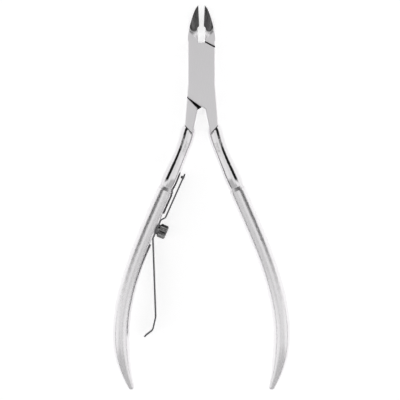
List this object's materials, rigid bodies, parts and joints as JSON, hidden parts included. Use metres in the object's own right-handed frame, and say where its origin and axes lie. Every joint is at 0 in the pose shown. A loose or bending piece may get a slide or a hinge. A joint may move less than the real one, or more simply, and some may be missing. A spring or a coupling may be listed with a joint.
{
  "type": "cuticle nipper",
  "caption": "Lap-joint cuticle nipper with hollow-ground jaws, bowed polished handles and a leaf spring held by a thumb screw, lying open.",
  "frame": {"origin": "on the pivot axis, at the back face of the joint, on which the nipper lies", "axes": "+Z out of the joint's front face along the pivot axis, +Y from the pivot to the cutting tips, +X to the right seen from the front"},
  "size_m": [0.0536, 0.116, 0.006],
  "materials": {
    "polished_steel": "mirror-polished stainless steel, with satin flats on the joint and dark hollow-ground blades",
    "satin_steel": "satin ground flush with the joint's faces",
    "spring_steel": "dark tempered spring steel",
    "screw_nickel": "nickel plate over a straight knurl"
  },
  "bodies": {
    "rear_lever_body": {"rear_lever": "polished_steel"},
    "front_lever_body": {"front_lever": "polished_steel", "pivot_rivet": "satin_steel"},
    "spring_body": {"leaf_spring": "spring_steel", "heel_peg": "spring_steel"},
    "screw_body": {"thumb_screw": "screw_nickel"}
  },
  "joints": [
    {"name": "lever_pivot", "type": "hinge", "parent": "rear_lever_body", "child": "front_lever_body", "pos_m": [0, 0, 0], "axis": [0, 0, 1], "range_deg": [-5.4, 0]},
    {"name": "spring_swivel", "type": "hinge", "parent": "rear_lever_body", "child": "spring_body", "pos_m": [-0.01361, -0.04694, 0.003], "axis": [0.9193, -0.3936, 0], "range_deg": [-165, 0]},
    {"name": "screw_turn", "type": "hinge", "parent": "rear_lever_body", "child": "screw_body", "pos_m": [-0.01361, -0.04694, 0.003], "axis": [0.9193, -0.3936, 0], "range_deg": [0, 360]}
  ]
}
